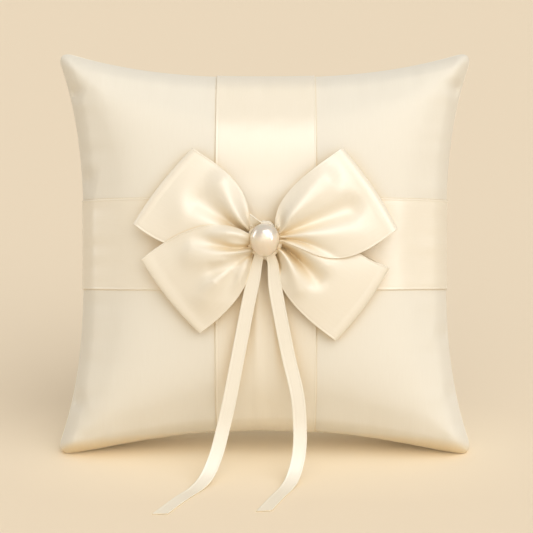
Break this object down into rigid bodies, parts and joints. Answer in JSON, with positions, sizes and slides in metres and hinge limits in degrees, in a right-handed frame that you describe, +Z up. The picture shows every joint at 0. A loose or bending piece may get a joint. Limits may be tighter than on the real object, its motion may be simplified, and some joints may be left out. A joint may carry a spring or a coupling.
{
  "type": "ring bearer pillow",
  "caption": "Square stuffed satin pillow leaning back on its corners, with crossed ribbon bands, a looped bow, a pearl and hanging tie ribbons for wedding rings.",
  "frame": {"origin": "on the ground, in the middle of the whole object seen from above", "axes": "+Z up; the decorated front faces -Y and leans back by 14 degrees; +X to the right of someone facing the front"},
  "size_m": [0.2026, 0.162, 0.1912],
  "materials": {
    "cover_satin": "matte",
    "ribbon_satin": "satin",
    "pearl": "gloss",
    "thread": "matte",
    "fill": "matte"
  },
  "bodies": {
    "cushion": {"front_panel": "cover_satin", "back_panel": "cover_satin", "fibre_fill": "fill", "edge_seam_thread": "thread", "closing_stitch": "thread", "horizontal_band": "ribbon_satin", "vertical_band": "ribbon_satin", "back_bow_gather": "ribbon_satin", "front_bow_gather": "ribbon_satin", "gather_binding_thread": "thread", "bow_tack_thread": "thread", "tie_ribbon_knot": "ribbon_satin", "knot_peak": "ribbon_satin", "pearl_thread": "thread"},
    "upper_left_loop": {"upper_left_loop": "ribbon_satin"},
    "lower_left_loop": {"lower_left_loop": "ribbon_satin"},
    "lower_right_loop": {"lower_right_loop": "ribbon_satin"},
    "upper_right_loop": {"upper_right_loop": "ribbon_satin"},
    "pearl": {"pearl": "pearl"},
    "left_tail": {"left_tail": "ribbon_satin"},
    "left_tail_end": {"left_tail_end": "ribbon_satin"},
    "right_tail": {"right_tail": "ribbon_satin"},
    "right_tail_end": {"right_tail_end": "ribbon_satin"}
  },
  "joints": [
    {"name": "upper_left_loop_lift", "type": "hinge", "parent": "cushion", "child": "upper_left_loop", "pos_m": [-0.009, -0.01663, 0.11447], "axis": [0, 0.2419, 0.9703], "range_deg": [0, 30]},
    {"name": "lower_left_loop_lift", "type": "hinge", "parent": "upper_left_loop", "child": "lower_left_loop", "pos_m": [-0.0095, -0.01809, 0.11483], "axis": [0, 0.2419, 0.9703], "range_deg": [0, 25]},
    {"name": "lower_right_loop_lift", "type": "hinge", "parent": "cushion", "child": "lower_right_loop", "pos_m": [0.008, -0.01663, 0.11447], "axis": [0, -0.2419, -0.9703], "range_deg": [0, 30]},
    {"name": "upper_right_loop_lift", "type": "hinge", "parent": "lower_right_loop", "child": "upper_right_loop", "pos_m": [0.0085, -0.01809, 0.11483], "axis": [0, -0.2419, -0.9703], "range_deg": [0, 25]},
    {"name": "pearl_spin", "type": "hinge", "parent": "cushion", "child": "pearl", "pos_m": [0, -0.02168, 0.11573], "axis": [0, 0.2419, 0.9703], "continuous": true},
    {"name": "left_tail_lift", "type": "hinge", "parent": "cushion", "child": "left_tail", "pos_m": [-0.0037, -0.01769, 0.1032], "axis": [-1, 0, 0], "range_deg": [0, 75]},
    {"name": "left_tail_end_droop", "type": "hinge", "parent": "left_tail", "child": "left_tail_end", "pos_m": [-0.02266, -0.03044, 0.01404], "axis": [-1, 0, 0], "range_deg": [-105, 0]},
    {"name": "right_tail_lift", "type": "hinge", "parent": "cushion", "child": "right_tail", "pos_m": [0.0039, -0.01769, 0.1032], "axis": [-1, 0, 0], "range_deg": [0, 75]},
    {"name": "right_tail_end_droop", "type": "hinge", "parent": "right_tail", "child": "right_tail_end", "pos_m": [0.01687, -0.02889, 0.01744], "axis": [-1, 0, 0], "range_deg": [-105, 0]}
  ],
  "couplings": [
    {"joint": "left_tail_end_droop", "follows": "left_tail_lift", "ratio": -1.3},
    {"joint": "right_tail_end_droop", "follows": "right_tail_lift", "ratio": -1.3}
  ]
}
